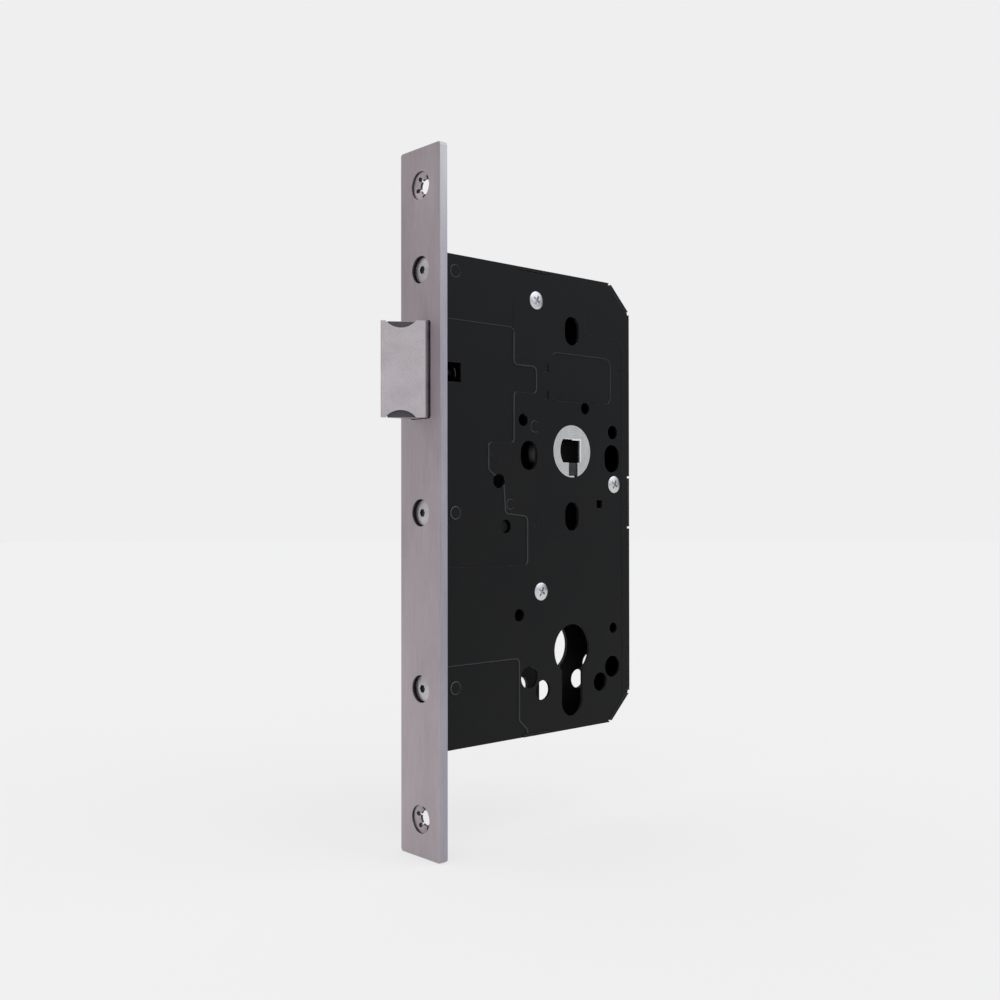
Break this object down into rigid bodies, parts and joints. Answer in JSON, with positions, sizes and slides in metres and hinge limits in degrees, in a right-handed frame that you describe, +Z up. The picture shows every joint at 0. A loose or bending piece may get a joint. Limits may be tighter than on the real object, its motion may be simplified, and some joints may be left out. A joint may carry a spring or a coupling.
{
  "type": "mortise lock",
  "caption": "Euro-profile mortise lock with a satin faceplate, a bevelled sprung latch, a spindle hub and a key-driven latch lever in a flat black case.",
  "frame": {"origin": "centre of the faceplate's front face, midway between its two fixing holes", "axes": "+X into the door, square to the faceplate; +Y through the door's thickness, from the cover to the far plate; +Z up along the faceplate"},
  "size_m": [0.1088, 0.021, 0.235],
  "materials": {
    "stainless": "satin, brushed along its length",
    "black_paint": "semi-matte black",
    "latch_metal": "fine satin, nickel plated",
    "hub_zinc": "turned zinc casting",
    "screw_zinc": "bright zinc plated",
    "dark_steel": "blackened",
    "lever_steel": "stamped, lightly oiled",
    "spring_steel": "drawn wire",
    "brass": "turned"
  },
  "bodies": {
    "lock_case": {"faceplate": "stainless", "case_body": "black_paint", "cover_plate": "black_paint", "faceplate_screws": "screw_zinc", "faceplate_posts": "dark_steel", "cover_screws": "screw_zinc", "cover_posts": "dark_steel", "latch_guide": "dark_steel", "spring_washer": "screw_zinc", "tail_guide_pin": "screw_zinc", "hub_spring_pin": "dark_steel", "lever_spring_post": "dark_steel", "key_lever_pin": "dark_steel", "lever_clip": "spring_steel", "latch_spring": "spring_steel", "hub_spring": "spring_steel", "key_lever_spring": "spring_steel"},
    "latch": {"latch_head": "latch_metal", "latch_rod": "screw_zinc", "latch_rod_pin": "dark_steel", "latch_tail": "lever_steel", "tail_drive_pins": "screw_zinc"},
    "follower": {"hub": "hub_zinc", "hub_arm": "lever_steel", "hub_rivets": "screw_zinc", "spindle_clamp": "dark_steel"},
    "key_lever": {"key_lever": "lever_steel", "key_lever_bush": "brass"}
  },
  "joints": [
    {"name": "follower_turn", "type": "hinge", "parent": "lock_case", "child": "follower", "pos_m": [0.065, 0, 0.0185], "axis": [0, 1, 0], "range_deg": [0, 39.3], "stiffness_Nm_per_rad": 0.4, "springref_deg": -57.3, "deforming": ["hub_spring"]},
    {"name": "latch_slide", "type": "slide", "parent": "lock_case", "child": "latch", "axis": [1, 0, 0], "range_m": [0, 0.0128], "deforming": ["latch_spring"]},
    {"name": "key_lever_turn", "type": "hinge", "parent": "lock_case", "child": "key_lever", "pos_m": [0.0327, 0, -0.0085], "axis": [0, 1, 0], "range_deg": [0, 17.13], "stiffness_Nm_per_rad": 0.02, "springref_deg": -28.65, "deforming": ["key_lever_spring"]}
  ],
  "couplings": [
    {"joint": "latch_slide", "follows": "follower_turn", "m_per_rad": 0.018628},
    {"joint": "key_lever_turn", "follows": "follower_turn", "ratio": 0.435}
  ]
}
